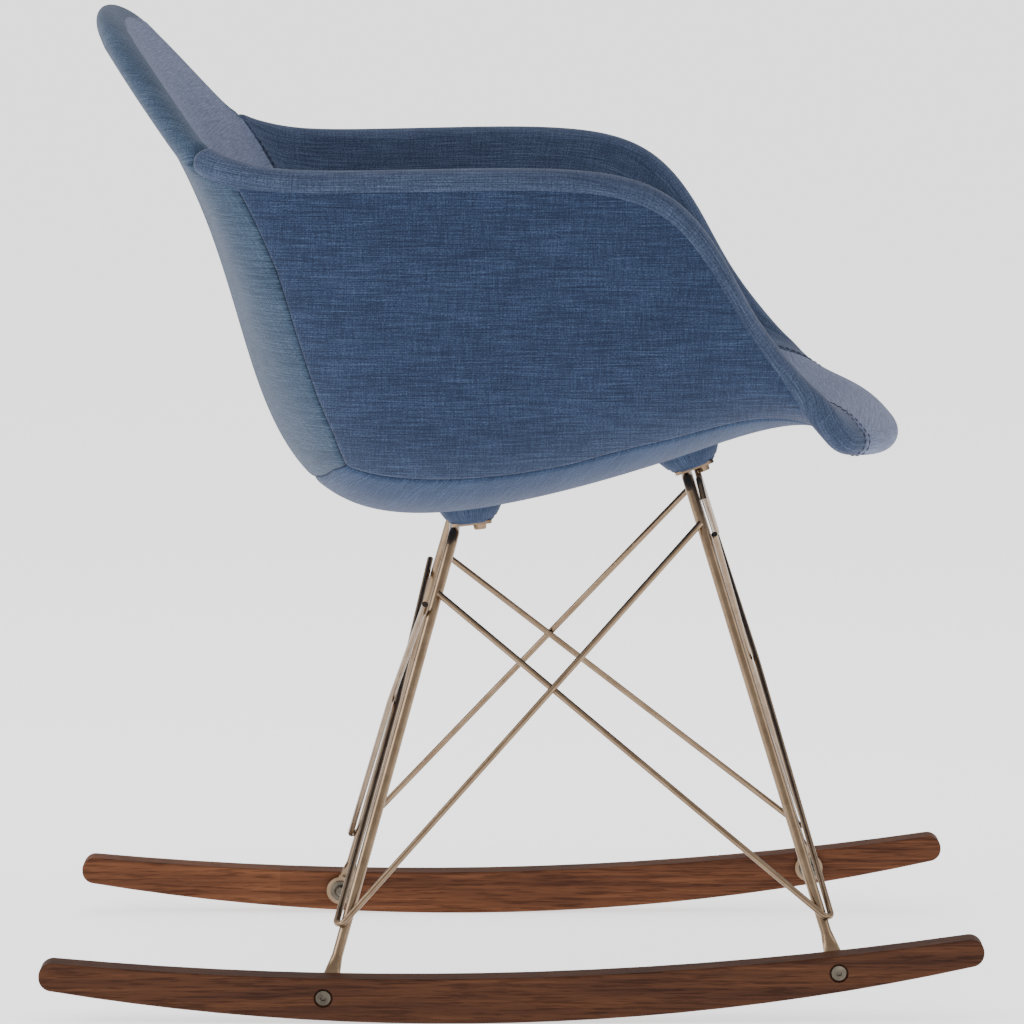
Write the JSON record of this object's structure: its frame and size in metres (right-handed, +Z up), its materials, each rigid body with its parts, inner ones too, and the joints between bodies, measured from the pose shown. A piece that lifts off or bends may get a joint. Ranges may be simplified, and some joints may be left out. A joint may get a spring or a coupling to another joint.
{
  "type": "rocking armchair",
  "caption": "Upholstered bucket-seat rocking armchair on a bent-wire base with two curved wooden rockers.",
  "frame": {"origin": "centre of the bounding box's bottom face, on the floor between the rockers", "axes": "+Z up, the sitter faces -Y, +X is the sitter's left"},
  "size_m": [0.5872, 0.689, 0.7337],
  "materials": {
    "wood": "oiled dark walnut",
    "bronze_wire": "satin champagne bronze powder coat",
    "linen": "slubby woven linen",
    "linen_dark": "slubby woven linen, wrapped round the bosses",
    "moulded_shell": "moulded, hidden under the cover",
    "padding": "foam and wadding, hidden under the cover",
    "zinc": "dull zinc-plated fasteners"
  },
  "bodies": {
    "root": {"seat_shell": "moulded_shell", "seat_foam": "padding", "outer_wadding": "padding", "inner_centre_panel": "linen", "inner_arm_panel_left": "linen", "inner_arm_panel_right": "linen", "outer_back_panel": "linen", "outer_side_panel_left": "linen", "outer_side_panel_right": "linen", "underside_panel": "linen", "arm_welt_left": "linen", "arm_welt_right": "linen", "back_edge_welt": "linen", "front_edge_welt": "linen", "front_left_boss": "linen_dark", "front_right_boss": "linen_dark", "rear_left_boss": "linen_dark", "rear_right_boss": "linen_dark", "threaded_inserts": "zinc", "seat_bolts": "zinc", "rocker_bolts": "zinc", "rocker_washers": "zinc", "rocker_cap_nuts": "zinc", "front_left_mount_plate": "bronze_wire", "front_right_mount_plate": "bronze_wire", "rear_left_mount_plate": "bronze_wire", "rear_right_mount_plate": "bronze_wire", "front_leg_frame": "bronze_wire", "rear_leg_frame": "bronze_wire", "front_brace_rod_left": "bronze_wire", "front_brace_rod_right": "bronze_wire", "rear_brace_rod_left": "bronze_wire", "rear_brace_rod_right": "bronze_wire", "front_tie_rod": "bronze_wire", "left_rocker": "wood", "right_rocker": "wood"}
  },
  "joints": []
}
